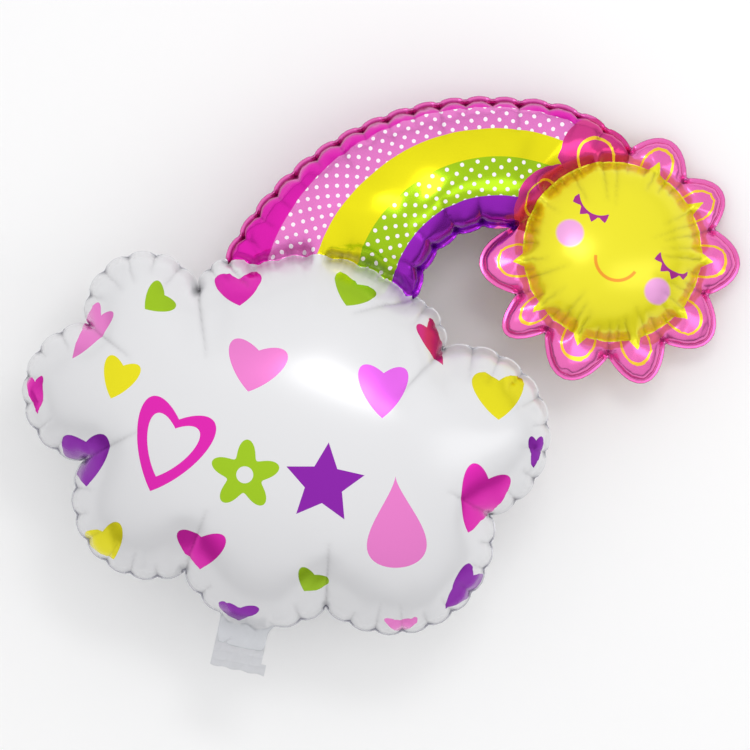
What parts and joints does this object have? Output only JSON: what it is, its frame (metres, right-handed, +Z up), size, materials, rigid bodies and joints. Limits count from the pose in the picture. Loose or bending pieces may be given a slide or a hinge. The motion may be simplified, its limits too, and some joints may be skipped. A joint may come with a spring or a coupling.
{
  "type": "sun and cloud foil balloon",
  "caption": "Inflated foil balloon: a white cloud printed with hearts, an arched rainbow and a smiling sun with puffed petals, lying on its back.",
  "frame": {"origin": "on the surface the balloon lies on, under the middle of the cloud and inside the flat spot of its back", "axes": "+Z up out of the printed face, +Y up the printed picture away from the tail, +X towards the sun's side"},
  "size_m": [0.8149, 0.7522, 0.2626],
  "materials": {
    "printed_foil": "glossy printed metallised film",
    "valve_film": "milky translucent film"
  },
  "bodies": {
    "root": {"foil_envelope": "printed_foil", "filling_valve": "valve_film"}
  },
  "joints": []
}
